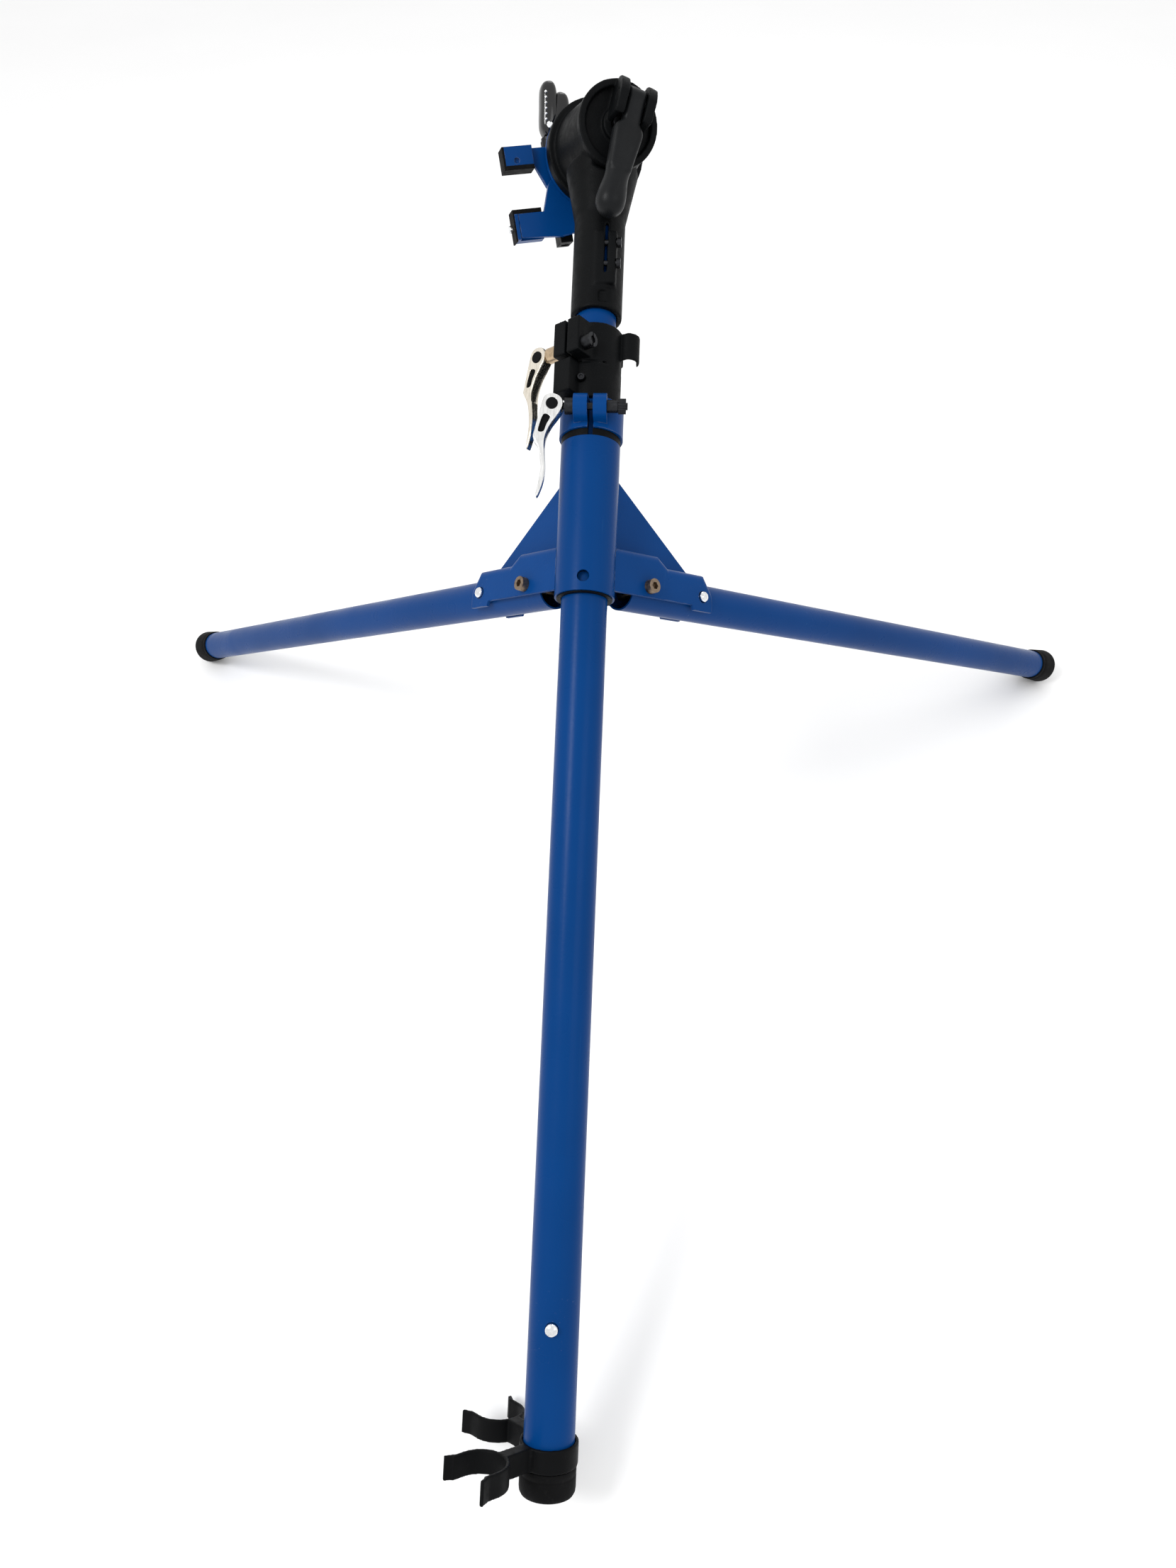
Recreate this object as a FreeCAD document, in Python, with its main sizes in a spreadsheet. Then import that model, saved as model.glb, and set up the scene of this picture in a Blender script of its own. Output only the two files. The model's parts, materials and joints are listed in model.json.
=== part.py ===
import FreeCAD, Part
import math
import os
import Sketcher
from FreeCAD import Placement, Rotation, Vector

# Folding bicycle repair stand: a telescopic mast, a sliding hub with two folding legs,
# and a rotating tube clamp on a head casting.  Everything is drawn in the mast's own frame
# (origin at the foot on the mast axis, Z up the mast, Y towards the legs, X to the right)
# and then leaned over until the foot and both leg caps stand on the floor.

DIMENSIONS = (
    # lower mast
    ("main_od", 40.0), ("main_wall", 1.6), ("main_base", 4.5), ("main_top", 912.0),
    ("cap_radius", 22.0), ("cap_height", 21.0), ("foot_round", 4.0),
    ("button_radius", 4.9), ("button_height", 124.2), ("button_hole", 5.2), ("button_proud", 4.5),
    # folded-leg clip on the foot
    ("clip_base", 21.5), ("clip_tall", 17.0), ("clip_ring", 23.0), ("clip_play", 0.6),
    ("clip_wall", 3.0), ("cradle_out", 65.0), ("clip_arm", 8.0), ("clip_flare", 9.0), ("clip_web", 11.0),
    # collar casting at the top of the main tube
    ("collar_base", 884.0), ("collar_top", 953.0), ("collar_radius", 24.5), ("collar_slit", 916.0),
    ("slit_width", 1.6), ("collar_ear_angle", 235.0), ("ear_reach", 40.0), ("ear_half", 14.0),
    ("ear_gap", 2.4), ("collar_bolt_height", 928.0), ("collar_bolt_reach", 31.0),
    ("hook_radius", 9.5), ("hook_wall", 2.6), ("hook_reach", 30.5), ("hook_base", 927.0),
    ("hook_top", 951.5),
    # upper mast and head
    ("upper_od", 36.0), ("upper_wall", 1.5), ("upper_base", 175.0), ("upper_top", 1058.0),
    ("glide_length", 24.0), ("socket_radius", 23.0), ("socket_base", 969.0),
    ("shaft_height", 1144.6), ("shaft_turn", 21.0), ("shaft_tilt", 19.0), ("shaft_radius", 12.0),
    ("barrel_rear", 34.0), ("barrel_front", 40.0), ("barrel_back", 38.0), ("barrel_fore", 34.0),
    ("flange_radius", 46.0), ("flange_thick", 12.0),
    ("disc_radius", 36.0), ("disc_thick", 9.0), ("fork_turn", 7.5), ("fork_side", -6.0),
    ("fork_gap", 17.6), ("fork_wall", 8.0), ("fork_pin_up", 15.9), ("fork_pin_back", 62.0),
    ("lever_ball", 12.8), ("lever_length", 85.0),
    # tube clamp
    ("jaw_turn", 17.5), ("jaw_plate", 5.0), ("jaw_width", 15.5), ("jaw_back", 40.0), ("jaw_pivot_out", 8.0),
    ("jaw_pivot_up", -21.0), ("jaw_tip", 84.0), ("jaw_root", 57.0), ("pad_thick", 3.6),
    ("rod_radius", 4.0), ("rod_out", 34.0), ("rod_fore", 57.0), ("handle_pivot", 36.5),
    ("handle_top", 76.0),
    # hub
    ("sleeve_od", 52.0), ("sleeve_wall", 2.6), ("sleeve_base", 710.5), ("sleeve_top", 848.0),
    ("sleeve_hole_height", 722.8), ("sleeve_hole", 5.25), ("hub_flange", 6.0), ("hub_ring_base", 854.5),
    ("hub_ring_tall", 28.0), ("hub_ring_radius", 28.0), ("hub_ear_radius", 10.6), ("hub_ear_half", 13.5),
    ("hub_ear_gap", 5.0), ("hub_bolt_height", 869.7), ("hub_bolt_reach", 33.5),
    ("lever_reach", 31.6), ("lever_thick", 11.0),
    # legs
    ("leg_od", 36.0), ("leg_wall", 1.5), ("leg_length", 832.0), ("leg_splay", 45.0), ("leg_rise", 6.4),
    ("leg_height", 724.1), ("pivot_out", 57.0), ("pivot_up", 0.0), ("leg_button_out", 126.0),
    ("bracket_wall", 3.0), ("bracket_gap", 0.9), ("bracket_end", 139.0), ("bracket_top", 21.8),
    ("hump_top", 31.0), ("tab_drop", 13.6),
    ("bracket_drop", 9.0), ("leg_cap_radius", 21.5), ("leg_cap_length", 32.0),
    ("fit", 0.05), ("running_gap", 0.3),
)


class Dim:
    """A length that carries its value and the spreadsheet expression that gives it."""

    def __init__(self, value, text=None):
        self.value = float(value)
        self.text = text if text else "%.6g" % value

    def _join(self, other, sign, value):
        other = as_dim(other)
        return Dim(value, "(%s %s %s)" % (self.text, sign, other.text))

    def __add__(self, other):
        return self._join(other, "+", self.value + as_dim(other).value)

    def __sub__(self, other):
        return self._join(other, "-", self.value - as_dim(other).value)

    def __mul__(self, other):
        return self._join(other, "*", self.value * as_dim(other).value)

    def __truediv__(self, other):
        return self._join(other, "/", self.value / as_dim(other).value)

    def __neg__(self):
        return Dim(-self.value, "(0 - %s)" % self.text)

    def __radd__(self, other):
        return as_dim(other) + self

    def __rsub__(self, other):
        return as_dim(other) - self

    def __rmul__(self, other):
        return as_dim(other) * self


def as_dim(number):
    return number if isinstance(number, Dim) else Dim(number)


def val(number):
    return as_dim(number).value


doc = FreeCAD.newDocument("RepairStand")
sheet = doc.addObject("Spreadsheet::Sheet", "Sizes")


class Sizes:
    """Every driving dimension by name, each tied to its spreadsheet cell."""


for row, (alias, number) in enumerate(DIMENSIONS, 1):
    sheet.set("A%d" % row, alias.replace("_", " "))
    sheet.set("B%d" % row, "%g" % number)
    sheet.setAlias("B%d" % row, alias)
    setattr(Sizes, alias, Dim(number, "Sizes." + alias))
doc.recompute()
D = Sizes
NODES = []

X_AXIS, Y_AXIS, Z_AXIS = Vector(1, 0, 0), Vector(0, 1, 0), Vector(0, 0, 1)


def vec(x=0, y=0, z=0):
    return Vector(val(x), val(y), val(z))


def axes(origin, x_dir, z_dir):
    """Placement whose local Z is z_dir and whose local X is as near x_dir as it can be."""
    y_dir = z_dir.cross(x_dir)
    return Placement(origin, Rotation(x_dir, y_dir, z_dir, "ZXY"))


def at(x=0, y=0, z=0):
    return Placement(vec(x, y, z), Rotation())


def turned_by(axis, degrees, origin=Vector()):
    return Placement(origin, Rotation(axis, val(degrees)))


# ---------------------------------------------------------------- the frames of the stand

def shaft_frame():
    """Local Z runs along the clamp shaft, away from the rear lever; local Y is up."""
    turn, tilt = math.radians(val(D.shaft_turn)), math.radians(val(D.shaft_tilt))
    along = Vector(-math.sin(turn) * math.cos(tilt), math.cos(turn) * math.cos(tilt), math.sin(tilt))
    level = Vector(-math.cos(turn), -math.sin(turn), 0)
    return axes(vec(0, 0, D.shaft_height), level, along)


def leg_frame(side):
    """Local X runs out along the leg, local Z is square to it and up; side is -1 left, 1 right."""
    splay, rise = math.radians(val(D.leg_splay)), math.radians(val(D.leg_rise))
    level = Vector(side * math.sin(splay), math.cos(splay), 0)
    out = level * math.cos(rise) + Z_AXIS * math.sin(rise)
    up = Z_AXIS * math.cos(rise) - level * math.sin(rise)
    return axes(vec(0, 0, D.leg_height), out, up)


SHAFT = shaft_frame()
JAW = SHAFT * turned_by(Z_AXIS, val(D.jaw_turn) * -1)
FORK = SHAFT * turned_by(Z_AXIS, D.fork_turn)
LEGS = {"left": leg_frame(-1), "right": leg_frame(1)}


def lean_angle():
    """Lean at which the floor touches the lower arm of the foot clip and both leg caps."""
    rounding = val(D.foot_round)
    out = LEGS["right"].Rotation.multVec(X_AXIS)
    leg_end = LEGS["right"].multVec(vec(D.leg_length - D.foot_round))
    arm = [foot for foot in clip_corners()]

    def gap(lean):
        down = Vector(0, math.sin(lean), -math.cos(lean))
        foot = max(down.dot(corner) for corner in arm)
        slope = down.dot(out)
        cap = down.dot(leg_end) + (val(D.leg_cap_radius) - rounding) * math.sqrt(1 - slope ** 2)
        return foot - cap - rounding

    low, high = math.radians(20), math.radians(75)
    for _ in range(60):
        middle = (low + high) / 2
        if (gap(low) > 0) == (gap(middle) > 0):
            low = middle
        else:
            high = middle
    return math.degrees(low)


def flare_frame(where, side):
    """Frame at the end of one cradle arm, turned outwards."""
    reach = D.leg_od / 2 + D.clip_play + D.clip_wall / 2
    return where * Placement(vec(D.cradle_out + D.clip_arm, side * reach), Rotation(Z_AXIS, side * 24))


def clip_corners():
    """Outer corners of the cradle arms, the points of the clip that can reach the floor."""
    corners = []
    for angle in (135, 225):
        for side in (-1, 1):
            tip = flare_frame(turned_by(Z_AXIS, angle), side)
            for across in (-D.clip_wall / 2, D.clip_wall / 2):
                for height in (D.clip_base, D.clip_base + D.clip_tall):
                    corners.append(tip.multVec(vec(D.clip_flare, across, height)))
    return corners


LEAN = lean_angle()
REST = Placement(Vector(), Rotation(X_AXIS, -LEAN))


# ---------------------------------------------------------------- document helpers

def bind(item, **sizes):
    for name, size in sizes.items():
        size = as_dim(size)
        if "Sizes." in size.text:
            item.setExpression(name, size.text)
        else:
            setattr(item, name, size.value)
    return item


def cylinder(radius, height, where=Placement()):
    item = bind(doc.addObject("Part::Cylinder", "Cylinder"), Radius=radius, Height=height)
    item.Placement = where
    return item


def cone(base, top, height, where=Placement()):
    item = bind(doc.addObject("Part::Cone", "Cone"), Radius1=base, Radius2=top, Height=height)
    item.Placement = where
    return item


def sphere(radius, where=Placement()):
    item = bind(doc.addObject("Part::Sphere", "Sphere"), Radius=radius)
    item.Placement = where
    return item


def box(x0, x1, y0, y1, z0, z1, where=Placement()):
    """Box between six faces, given in the frame where."""
    item = bind(doc.addObject("Part::Box", "Box"), Length=as_dim(x1) - x0, Width=as_dim(y1) - y0,
                Height=as_dim(z1) - z0)
    item.Placement = where * at(x0, y0, z0)
    return item


def fuse(*items):
    if len(items) == 1:
        return items[0]
    item = doc.addObject("Part::MultiFuse", "Fusion")
    item.Shapes = list(items)
    return item


def cut(base, *tools):
    item = doc.addObject("Part::Cut", "Cut")
    item.Base = base
    item.Tool = fuse(*tools)
    return item


def common(first, second):
    item = doc.addObject("Part::MultiCommon", "Common")
    item.Shapes = [first, second]
    return item


def group(*items):
    item = doc.addObject("Part::Compound", "Group")
    item.Links = list(items)
    return item


def tube(outer, inner, z0, z1):
    """Ring between two radii and two heights."""
    wall = cylinder(outer, as_dim(z1) - z0, at(0, 0, z0))
    return cut(wall, cylinder(inner, as_dim(z1) - z0 + 2, at(0, 0, as_dim(z0) - 1)))


def node(label, item, where=Placement()):
    """Name a finished piece, seat it in the leaned stand and keep it for export."""
    item.Label = label
    item.Placement = REST * where * item.Placement
    NODES.append(item)
    return item


def plane_of(body, role):
    return next(face for face in body.Origin.OriginFeatures if face.Role == role)


def pin_point(sketch, geometry, end, x, y):
    """Fix one sketch point to the origin by two driven distances."""
    for kind, size, axis in (("DistanceX", as_dim(x), -2), ("DistanceY", as_dim(y), -1)):
        if abs(size.value) < 1e-9:
            sketch.addConstraint(Sketcher.Constraint("PointOnObject", geometry, end, axis))
            continue
        index = sketch.addConstraint(Sketcher.Constraint(kind, -1, 1, geometry, end, size.value))
        if "Sizes." in size.text:
            sketch.setExpression("Constraints[%d]" % index, size.text)


def outline(sketch, points):
    """Closed run of straight lines through driven points."""
    corners = [Vector(val(x), val(y), 0) for x, y in points]
    first = sketch.GeometryCount
    for index, corner in enumerate(corners):
        sketch.addGeometry(Part.LineSegment(corner, corners[(index + 1) % len(corners)]), False)
    for index in range(len(corners)):
        here, following = first + index, first + (index + 1) % len(corners)
        sketch.addConstraint(Sketcher.Constraint("Coincident", here, 2, following, 1))
    for index, (x, y) in enumerate(points):
        pin_point(sketch, first + index, 1, x, y)


def ring(sketch, x, y, radius):
    index = sketch.addGeometry(Part.Circle(Vector(val(x), val(y), 0), Z_AXIS, val(radius)), False)
    pin_point(sketch, index, 3, x, y)
    radius = as_dim(radius)
    number = sketch.addConstraint(Sketcher.Constraint("Radius", index, radius.value))
    if "Sizes." in radius.text:
        sketch.setExpression("Constraints[%d]" % number, radius.text)


def new_sketch(body, role):
    sketch = body.newObject("Sketcher::SketchObject", "Sketch")
    sketch.AttachmentSupport = [(plane_of(body, role), "")]
    sketch.MapMode = "FlatFace"
    return sketch


def lathe(profile):
    """Body turned about its own Z axis from (radius, height) points."""
    body = doc.addObject("PartDesign::Body", "Turned")
    sketch = new_sketch(body, "XZ_Plane")
    outline(sketch, profile)
    doc.recompute()
    turn = body.newObject("PartDesign::Revolution", "Revolution")
    turn.Profile = sketch
    turn.ReferenceAxis = (sketch, ["V_Axis"])
    turn.Angle = 360
    sketch.Visibility = False
    doc.recompute()
    return body


def plate(points, thickness, holes=()):
    """Body padded up from its XY plane; holes are (x, y, radius)."""
    body = doc.addObject("PartDesign::Body", "Plate")
    sketch = new_sketch(body, "XY_Plane")
    outline(sketch, points)
    for x, y, radius in holes:
        ring(sketch, x, y, radius)
    doc.recompute()
    pad = body.newObject("PartDesign::Pad", "Pad")
    pad.Profile = sketch
    bind(pad, Length=thickness)
    doc.recompute()
    return body


def soften(body, radius, wanted):
    """Fillet the edges of the body's tip that the test picks."""
    doc.recompute()
    base = body.Tip
    names = ["Edge%d" % (index + 1) for index, edge in enumerate(base.Shape.Edges) if wanted(edge)]
    fillet = body.newObject("PartDesign::Fillet", "Fillet")
    fillet.Base = (base, names)
    bind(fillet, Radius=radius)
    doc.recompute()
    return body


def is_circle(edge, radius, height=None):
    curve = edge.Curve
    if not hasattr(curve, "Radius") or abs(curve.Radius - val(radius)) > 1e-3:
        return False
    return height is None or abs(curve.Center.z - val(height)) < 1e-3


def is_upright(edge):
    if not isinstance(edge.Curve, Part.Line) and not isinstance(edge.Curve, Part.LineSegment):
        return False
    return abs(abs(edge.Curve.Direction.z) - 1) < 1e-6


def socket_bolt(shank, length, head, tall, socket):
    """Socket-head cap screw; its head stands on Z = 0 and its shank runs down."""
    shape = fuse(cylinder(head, tall), cylinder(shank, length, at(0, 0, -as_dim(length))))
    return cut(shape, hexagon(socket, tall * 0.6, at(0, 0, tall * 0.4)))


def hexagon(radius, height, where=Placement()):
    item = bind(doc.addObject("Part::Prism", "Hexagon"), Circumradius=radius, Height=height)
    item.Polygon = 6
    item.Placement = where
    return item


# ---------------------------------------------------------------- lower mast

def snap_button(reach):
    """Turned button: a domed plunger with a collar that stops behind the tube wall."""
    radius = D.button_radius
    tip = as_dim(reach)
    profile = [(0, 12.5), (radius + 1.4, 12.5), (radius + 1.4, 14.5), (radius, 14.5),
               (radius, tip - 1.6), (radius - 0.7, tip - 0.6), (radius - 2.2, tip), (0, tip)]
    return lathe(profile)


def leaf_spring(side_reach, length):
    """Bent leaf that carries a snap button and bears on the far wall of its tube."""
    width, gauge = 8, 0.8
    near = box(-side_reach, -side_reach + gauge, -width / 2, width / 2, -length, 5)
    far = box(side_reach - gauge - 3, side_reach - 3, -width / 2, width / 2, -length, 5)
    middle = -1.5
    radius = side_reach - 1.5
    bend = cut(cylinder(radius, width, turned_by(X_AXIS, 90, Vector(middle, width / 2, -length))),
               cylinder(radius - gauge, width + 2, turned_by(X_AXIS, 90, Vector(middle, width / 2 + 1, -length))),
               box(-20, 20, -width, width, -length, 10))
    return fuse(near, far, bend)


def lower_mast():
    main = tube(D.main_od / 2, D.main_od / 2 - D.main_wall, D.main_base, D.main_top)
    hole = cylinder(D.button_hole, 12, turned_by(X_AXIS, 90, vec(0, -12, D.button_height)))
    node("main_tube", cut(main, hole))

    cap = lathe([(0, 0), (D.cap_radius, 0), (D.cap_radius, D.cap_height),
                 (D.main_od / 2 + D.fit, D.cap_height), (D.main_od / 2 + D.fit, D.main_base), (0, D.main_base)])
    soften(cap, D.foot_round, lambda edge: is_circle(edge, D.cap_radius, 0))
    node("foot_cap", cap)

    facing = turned_by(X_AXIS, 90, vec(0, 0, D.button_height))
    button = snap_button(D.main_od / 2 + D.button_proud)
    node("mast_snap_button", button, facing)
    spring = leaf_spring(12.4, 34)
    node("mast_button_spring", spring, axes(vec(0, 0, D.button_height), Y_AXIS, Z_AXIS))


def leg_cradle(angle):
    """One U-shaped cradle of the clip, its mouth facing out along the angle."""
    where = turned_by(Z_AXIS, angle)
    centre = D.cradle_out
    inner = D.leg_od / 2 + D.clip_play
    outer = inner + D.clip_wall
    low, high = D.clip_base, D.clip_base + D.clip_tall
    back = cylinder(outer, D.clip_tall, where * at(centre, 0, low))
    arms = box(centre, centre + D.clip_arm, -outer, outer, low, high, where)
    web = box(D.clip_ring - 2, centre - inner - 1, -D.clip_web / 2, D.clip_web / 2, low, high, where)
    hollow = [cylinder(inner, D.clip_tall + 2, where * at(centre, 0, low - 1)),
              box(centre, centre + 40, -inner, inner, low - 1, high + 1, where)]
    flares = []
    for side in (-1, 1):
        flares.append(box(-0.6, D.clip_flare, -D.clip_wall / 2, D.clip_wall / 2, low, high,
                          flare_frame(where, side)))
    return cut(fuse(back, arms, web), *hollow), flares


def foot_clip():
    pieces = [tube(D.clip_ring, D.main_od / 2 + D.running_gap, D.clip_base, D.clip_base + D.clip_tall)]
    for angle in (135, 225):
        cradle, flares = leg_cradle(angle)
        pieces += [cradle] + flares
    bore = cylinder(D.main_od / 2 + D.running_gap, D.clip_tall + 2, at(0, 0, D.clip_base - 1))
    node("foot_leg_clip", cut(fuse(*pieces), bore))


def collar():
    """Casting on the main tube's top: a fixed lower half and a split clamping upper half."""
    low, high, slit = D.collar_base, D.collar_top, D.collar_slit
    ear = turned_by(Z_AXIS, D.collar_ear_angle)
    body = fuse(cylinder(D.collar_radius, high - low, at(0, 0, low)),
                box(16, D.ear_reach, -D.ear_half, D.ear_half, slit + 3, high - 3, ear),
                box(16, D.ear_reach - 2, -D.ear_half, 4, low + 2, slit - 0.2, ear),
                box(0, D.hook_reach, -6, -2, D.hook_base + 3, D.hook_top - 3),
                cylinder(D.hook_radius, D.hook_top - D.hook_base, at(D.hook_reach, 0, D.hook_base)))
    bolt_line = axes(ear.multVec(vec(D.collar_bolt_reach, 0, D.collar_bolt_height)),
                     ear.Rotation.multVec(X_AXIS), ear.Rotation.multVec(-Y_AXIS))
    body = cut(body,
               cylinder(D.main_od / 2 + D.fit, D.main_top - low + 1, at(0, 0, low - 1)),
               cylinder(19.8, high - low + 2, at(0, 0, low - 1)),
               box(-40, 14, -50, 0, slit, slit + D.slit_width),
               box(17, 50, -D.ear_gap / 2, D.ear_gap / 2, slit, high + 1, ear),
               cylinder(3.3, 60, bolt_line * at(0, 0, -30)),
               cylinder(D.hook_radius - D.hook_wall, 40, at(D.hook_reach, 0, slit)),
               box(D.hook_reach - 5, D.hook_reach + 6.5, 0, 20, slit, high + 1),
               cylinder(3.1, 12, axes(vec(-9, -32, 901), Z_AXIS, Y_AXIS)))
    node("collar_casting", body)
    node("collar_set_screw", socket_bolt(3.0, 4.5, 3.0, 1.5, 1.7), axes(vec(-9, -25.2, 901), Z_AXIS, -Y_AXIS))

    bushing = cut(tube(19.75, D.upper_od / 2 + D.running_gap, D.main_top + 0.5, high + 1.5),
                  box(17, 30, -1.2, 1.2, slit, high + 3, ear))
    node("collar_bushing", bushing)

    nut = cut(cylinder(6.2, 9, at(0, 0, -23.2)), cylinder(3.05, 12, at(0, 0, -25)))
    node("collar_qr_nut", cut(nut, box(-0.8, 0.8, -10, 10, -24, -21)), bolt_line)
    node("collar_qr_bolt", cylinder(3.0, 59, at(0, 0, -21.6)), bolt_line)
    spacer = cut(cylinder(6.8, 11.2, at(0, 0, 14.1)), cylinder(3.05, 20, at(0, 0, 10)))
    node("collar_qr_spacer", spacer, bolt_line)
    barrel = cylinder(5.0, D.lever_thick + 1.4, turned_by(Y_AXIS, 90, vec(-6.2, 0, 36)))
    node("collar_qr_barrel", cut(barrel, cylinder(3.05, 30, at(0, 0, 12))), bolt_line)
    return bolt_line, ear


QR_OUTLINE = ((0.0, 9.8), (6.8, 7.0), (9.7, 2.0), (9.2, -4.0), (5.0, -11.0), (0.0, -18.5), (-3.5, -27.0),
              (-4.6, -34.0), (-4.2, -44.0), (-3.5, -52.0), (-3.6, -60.0), (-5.0, -70.0), (-8.8, -81.0),
              (-10.9, -80.0), (-9.0, -70.0), (-7.9, -60.0), (-8.2, -52.0), (-9.2, -44.0), (-11.5, -37.0),
              (-15.0, -30.0), (-14.2, -24.0), (-11.8, -12.0), (-9.8, -3.0), (-6.8, 7.0))
QR_WINDOW = ((-6.5, -9.5), (-0.8, -12.0), (-3.6, -19.0), (-5.8, -25.5), (-10.8, -25.5), (-9.8, -18.0))


def qr_lever(barrel):
    """Cam lever drawn with its boss at the origin, hanging along -Y, its bolt leaving along +X."""
    blade = plate(QR_OUTLINE, D.lever_thick)
    boss_bore = cylinder(barrel + 0.1, D.lever_thick + 2, at(0, 0, -1))
    bolt_way = box(-14, 14, -12, 14, D.lever_thick / 2 - 3.4, D.lever_thick / 2 + 3.4)
    window = plate(QR_WINDOW, 3.2)
    window.Placement = at(0, 0, D.lever_thick - 3)
    cam_room = common(bolt_way, cylinder(12.2, D.lever_thick + 2, at(0, 0, -1)))
    return cut(blade, boss_bore, cam_room, window)


def collar_lever(bolt_line, ear):
    out = ear.Rotation.multVec(X_AXIS)
    tangent = ear.Rotation.multVec(Y_AXIS)
    centre = bolt_line.multVec(vec(0, 0, 36)) - out * (val(D.lever_thick) / 2)
    node("collar_qr_lever", qr_lever(5.0), axes(centre, tangent, out))


# ---------------------------------------------------------------- upper mast and head

def upper_mast():
    node("upper_tube", tube(D.upper_od / 2, D.upper_od / 2 - D.upper_wall, D.upper_base, D.upper_top))
    base = D.upper_base
    inside = D.upper_od / 2 - D.upper_wall - D.running_gap
    profile = [(0, base - 8), (D.upper_od / 2 - 1.5, base - 8), (D.upper_od / 2 + 0.1, base - 6),
               (D.upper_od / 2 + 0.1, base - 0.4), (inside, base - 0.4), (inside, base + D.glide_length),
               (0, base + D.glide_length)]
    node("upper_tube_glide", lathe(profile))


def head_casting():
    """Socket for the upper mast with a barrel across its top for the clamp shaft."""
    back, fore = -D.barrel_back, D.barrel_fore
    socket = cylinder(D.socket_radius, D.shaft_height - D.socket_base - 2, at(0, 0, D.socket_base))
    barrel = cone(D.barrel_rear, D.barrel_front, fore - back - D.flange_thick, SHAFT * at(0, 0, back))
    flange = cylinder(D.flange_radius, D.flange_thick, SHAFT * at(0, 0, fore - D.flange_thick))
    spine = box(-1.5, 17.5, -24.6, -10, 990, 1040)
    web = cone(D.socket_radius, 33, 50, at(0, 0, 1062))
    bore = cylinder(D.upper_od / 2 + D.fit, D.upper_top - D.socket_base + 1, at(0, 0, D.socket_base - 1))
    shaft_bore = cylinder(14.6, 90, SHAFT * at(0, 0, -45))
    split = box(6.7, 9.3, -30, -10, 1000, 1050)
    window = box(2.5, 22, -30, -19.2, 974, 985)
    front_pocket = cut(cylinder(D.barrel_front - 5, 8, SHAFT * at(0, 0, fore - 8 + 0.1)),
                       cylinder(18.5, 10, SHAFT * at(0, 0, fore - 9)))
    disc_room = cylinder(D.disc_radius + 1.5, 50, SHAFT * at(0, 0, back - 50 - 0.1))
    bolt_holes = []
    for line in pinch_lines():
        bolt_holes.append(cylinder(2.45, 14.2, line * at(0, 0, -14.1)))
        bolt_holes.append(cylinder(4.3, 8, line))
    node("head_casting", cut(fuse(socket, barrel, flange, spine, web), bore, shaft_bore, split, window,
                             front_pocket, disc_room, *bolt_holes))

    bush = []
    for end, flange_at in ((-38, -40), (14, 32)):
        bush.append(fuse(cut(cylinder(14.5, 20, at(0, 0, end)), cylinder(12.3, 22, at(0, 0, end - 1)))))
    node("head_shaft_bushes", group(*bush), SHAFT)

    bolts = []
    for line in pinch_lines():
        bolt = socket_bolt(2.4, 14, 4.2, 3.6, 2.0)
        bolt.Placement = line
        bolts.append(bolt)
    node("head_pinch_bolts", group(*bolts))


def pinch_lines():
    """Frames of the two bolts that close the socket's split; their heads face the right."""
    return [axes(vec(17.6, -21.2, height), Z_AXIS, X_AXIS) for height in (1010, 1030)]


def rear_fork():
    """Disc on the shaft's rear end, dished, with two ears that hold the cam lever's pin."""
    face = -D.barrel_back - 0.6
    disc = cylinder(D.disc_radius, D.disc_thick, at(0, 0, face - D.disc_thick))
    dish = cylinder(D.disc_radius - 6, 5, at(0, 0, face - D.disc_thick - 0.1))
    keep = cylinder(14, 5, at(0, 0, face - D.disc_thick - 0.1))
    disc = cut(disc, cut(dish, keep))
    ears = []
    for side in (-1, 1):
        inner, outer = D.fork_gap / 2, D.fork_gap / 2 + D.fork_wall
        low, high = (inner, outer) if side > 0 else (-outer, -inner)
        slab = box(low, high, D.fork_pin_up - 17, 34, -D.fork_pin_back - 12, face - 4, at(D.fork_side))
        slab = common(slab, cylinder(D.disc_radius + 1, 120, at(0, 0, -100)))
        rounding = cylinder(24, 60, Placement(vec(-33, D.fork_pin_up - 6, -D.fork_pin_back + 11),
                                              Rotation(Y_AXIS, 90)))
        ears.append(common(slab, rounding))
    pin_way = cylinder(3.55, 60, Placement(vec(-33, D.fork_pin_up, -D.fork_pin_back), Rotation(Y_AXIS, 90)))
    node("rear_fork_disc", cut(fuse(disc, *ears), pin_way, cylinder(6.2, 40, at(0, 0, -70))), FORK)

    half = D.fork_gap / 2 + D.fork_wall
    pin = cylinder(3.5, half * 2 - 1, Placement(vec(D.fork_side - half + 0.5, D.fork_pin_up, -D.fork_pin_back),
                                                Rotation(Y_AXIS, 90)))
    node("fork_pin", pin, FORK)
    shaft = fuse(cylinder(D.shaft_radius, 78.0, at(0, 0, face + 0.1)), cylinder(6.1, 14, at(0, 0, face - 13.9)))
    node("clamp_shaft", shaft, SHAFT)


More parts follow.
